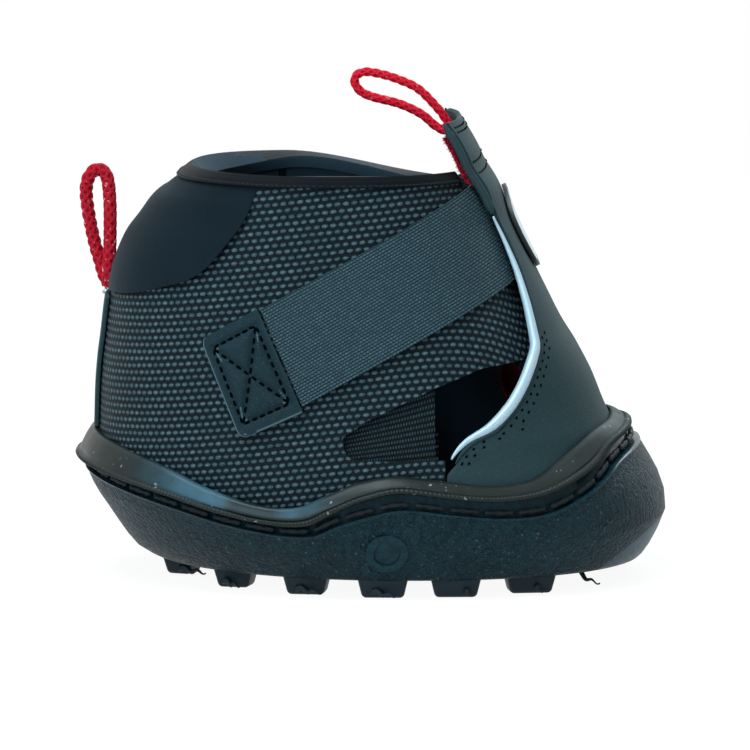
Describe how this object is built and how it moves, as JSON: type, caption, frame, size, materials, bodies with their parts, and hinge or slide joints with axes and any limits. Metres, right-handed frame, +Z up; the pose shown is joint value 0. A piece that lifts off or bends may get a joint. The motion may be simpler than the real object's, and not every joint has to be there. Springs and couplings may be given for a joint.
{
  "type": "horse hoof boot",
  "caption": "Strap-on boot for a horse's hoof: lugged rubber sole, woven quarters, padded heel cuff, fold-down front flap, side straps and pull loops.",
  "frame": {"origin": "on the ground under the middle of the sole, at the bottom face of the tread's middle lug", "axes": "+X towards the toe, +Z up, -Y towards the side seen in the picture"},
  "size_m": [0.1656, 0.14, 0.1417],
  "materials": {
    "sole_rubber": "moulded dark slate rubber",
    "band_rubber": "glossy edge band",
    "footbed_foam": "closed-cell foam",
    "thread": "thick waxed thread",
    "quarter_weave": "coarse woven fabric",
    "neoprene": "matte padded neoprene",
    "reflective_piping": "pale reflective piping",
    "red_tape": "red hook-and-loop tape",
    "red_cord": "red braided cord",
    "badge_face": "plain round badge",
    "leather": "matte synthetic leather",
    "webbing": "woven elastic webbing"
  },
  "bodies": {
    "boot": {"outsole": "sole_rubber", "footbed": "footbed_foam", "edge_band": "band_rubber", "sole_stitching": "thread", "heel_cuff": "neoprene", "heel_strip": "leather", "toe_panel": "leather", "throat_hook_tape": "red_tape", "quarter_near": "quarter_weave", "wing_hem_near": "quarter_weave", "collar_lining_near": "neoprene", "top_binding_near": "webbing", "gusset_near": "webbing", "strap_patch_near": "leather", "toe_piping_near": "reflective_piping", "quarter_far": "quarter_weave", "wing_hem_far": "quarter_weave", "collar_lining_far": "neoprene", "top_binding_far": "webbing", "gusset_far": "webbing", "strap_patch_far": "leather", "toe_piping_far": "reflective_piping"},
    "flap": {"front_flap": "leather", "flap_hook_tape": "red_tape", "badge": "badge_face", "flap_piping_near": "reflective_piping", "flap_piping_far": "reflective_piping", "flap_roll_near": "leather", "flap_roll_far": "leather"},
    "strap_near": {"strap_near": "webbing"},
    "strap_far": {"strap_far": "webbing"},
    "front_loop": {"front_pull_loop": "red_cord"},
    "heel_loop": {"heel_pull_loop": "red_cord"}
  },
  "joints": [
    {"name": "flap_fold", "type": "hinge", "parent": "boot", "child": "flap", "pos_m": [0.05344, 0, 0.06922], "axis": [0, 1, 0], "range_deg": [0, 120]},
    {"name": "strap_near_swing", "type": "hinge", "parent": "boot", "child": "strap_near", "pos_m": [-0.02455, -0.05695, 0.06606], "axis": [0.3985, -0.2701, -0.8765], "range_deg": [0, 42]},
    {"name": "strap_far_swing", "type": "hinge", "parent": "boot", "child": "strap_far", "pos_m": [-0.02455, 0.05695, 0.06606], "axis": [-0.3985, -0.2701, 0.8765], "range_deg": [0, 42]},
    {"name": "front_loop_swing", "type": "hinge", "parent": "flap", "child": "front_loop", "pos_m": [0.0233, 0, 0.125], "axis": [0, 1, 0], "range_deg": [-80, 20], "stiffness_Nm_per_rad": 0.003},
    {"name": "heel_loop_swing", "type": "hinge", "parent": "boot", "child": "heel_loop", "pos_m": [-0.0768, 0, 0.0793], "axis": [0, 1, 0], "range_deg": [-80, 0], "stiffness_Nm_per_rad": 0.003}
  ],
  "couplings": [
    {"joint": "strap_near_swing", "follows": "flap_fold", "ratio": 0.35},
    {"joint": "strap_far_swing", "follows": "flap_fold", "ratio": 0.35}
  ]
}
